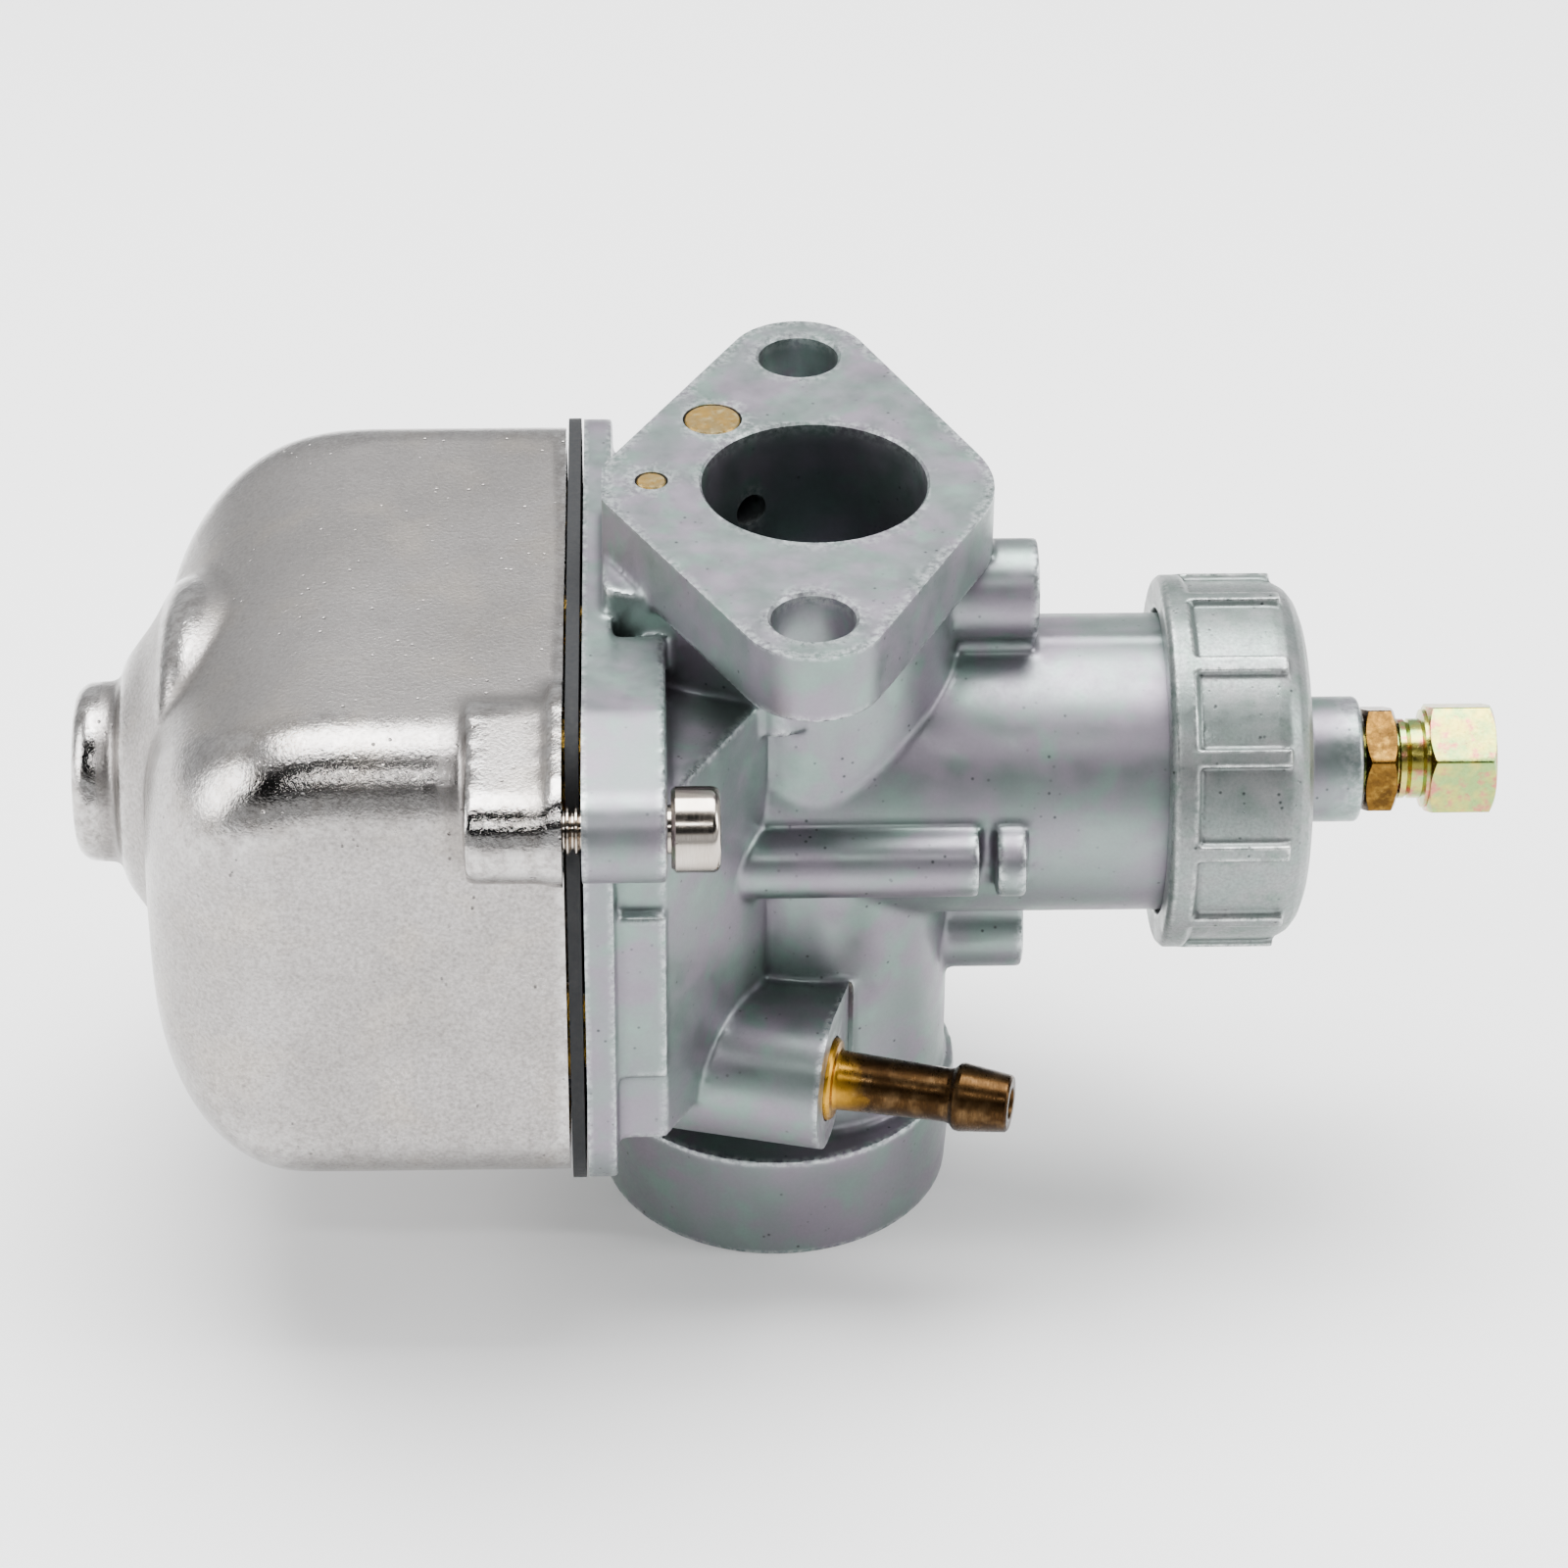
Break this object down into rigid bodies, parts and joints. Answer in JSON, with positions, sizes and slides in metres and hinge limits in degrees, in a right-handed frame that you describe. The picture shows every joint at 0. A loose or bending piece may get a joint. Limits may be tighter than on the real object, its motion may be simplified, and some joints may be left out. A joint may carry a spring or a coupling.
{
  "type": "slide carburetor",
  "caption": "16 mm slide carburetor for a moped: zinc body with rhombic two-bolt flange, aluminium float bowl, ribbed cap ring, cable adjuster and brass fuel nipple.",
  "frame": {"origin": "centre of the air-intake rim, in the plane of the rim, which is the face the part stands on", "axes": "+Z along the bore towards the engine flange, +X along the throttle slide towards the cable adjuster, -Y towards the side with the fuel inlet"},
  "size_m": [0.1234, 0.0718, 0.0715],
  "materials": {
    "zinc": "satin",
    "aluminium": "satin",
    "rubber": "matte",
    "nickel": "gloss",
    "steel": "satin",
    "brass": "satin",
    "yellow_zinc": "satin",
    "plastic": "satin"
  },
  "bodies": {
    "body": {"carburetor_body": "zinc", "float_bowl": "aluminium", "bowl_gasket": "rubber", "cap_cover": "zinc", "throttle_spring": "steel", "starter_spring": "steel", "starter_cap": "zinc", "throttle_stop_screw_spring": "steel", "mixture_screw_spring": "steel", "float_pin": "steel", "needle_seat": "brass", "jet_stock": "brass", "main_jet": "brass", "idle_jet": "brass", "starter_jet": "brass", "fuel_nipple": "brass", "flange_plug_large": "brass", "flange_plug_small": "brass"},
    "throttle": {"throttle_slide": "zinc", "jet_needle": "steel", "needle_clip": "steel", "spring_plate": "steel"},
    "cap_ring": {"cap_ring": "zinc"},
    "lock_nut": {"lock_nut": "yellow_zinc"},
    "cable_adjuster": {"cable_adjuster": "yellow_zinc"},
    "stop_screw": {"throttle_stop_screw": "brass"},
    "mixture_screw": {"mixture_screw": "brass"},
    "starter": {"starter_plunger": "brass"},
    "float": {"float": "plastic"},
    "float_needle": {"float_needle": "steel"},
    "bowl_screw_near": {"bowl_screw_near": "nickel"},
    "bowl_screw_far": {"bowl_screw_far": "nickel"}
  },
  "joints": [
    {"name": "throttle_travel", "type": "slide", "parent": "body", "child": "throttle", "axis": [1, 0, 0], "range_m": [0, 0.0155], "stiffness_N_per_m": 250, "deforming": ["throttle_spring"]},
    {"name": "starter_travel", "type": "slide", "parent": "body", "child": "starter", "axis": [1, 0, 0], "range_m": [0, 0.0075], "stiffness_N_per_m": 300, "deforming": ["starter_spring"]},
    {"name": "cap_ring_turn", "type": "hinge", "parent": "body", "child": "cap_ring", "pos_m": [0, 0, 0.0425], "axis": [1, 0, 0], "continuous": true},
    {"name": "lock_nut_turn", "type": "hinge", "parent": "body", "child": "lock_nut", "pos_m": [0, 0, 0.0425], "axis": [1, 0, 0], "continuous": true},
    {"name": "adjuster_turn", "type": "hinge", "parent": "body", "child": "cable_adjuster", "pos_m": [0, 0, 0.0425], "axis": [1, 0, 0], "continuous": true},
    {"name": "stop_screw_turn", "type": "hinge", "parent": "body", "child": "stop_screw", "pos_m": [0.013, 0, 0.0435], "axis": [0, 1, 0], "continuous": true},
    {"name": "mixture_screw_turn", "type": "hinge", "parent": "body", "child": "mixture_screw", "pos_m": [0.006, 0, 0.0205], "axis": [0, 1, 0], "continuous": true},
    {"name": "bowl_screw_near_turn", "type": "hinge", "parent": "body", "child": "bowl_screw_near", "pos_m": [0, -0.0316, 0.0581], "axis": [1, 0, 0], "continuous": true},
    {"name": "bowl_screw_far_turn", "type": "hinge", "parent": "body", "child": "bowl_screw_far", "pos_m": [0, 0.0316, 0.0218], "axis": [1, 0, 0], "continuous": true},
    {"name": "float_swing", "type": "hinge", "parent": "body", "child": "float", "pos_m": [-0.0209, -0.0226, 0.0425], "axis": [0, 0, 1], "range_deg": [0, 8]},
    {"name": "float_needle_travel", "type": "slide", "parent": "body", "child": "float_needle", "axis": [-1, 0, 0], "range_m": [0, 0.00106]}
  ],
  "couplings": [
    {"joint": "float_needle_travel", "follows": "float_swing", "m_per_rad": 0.0075}
  ]
}
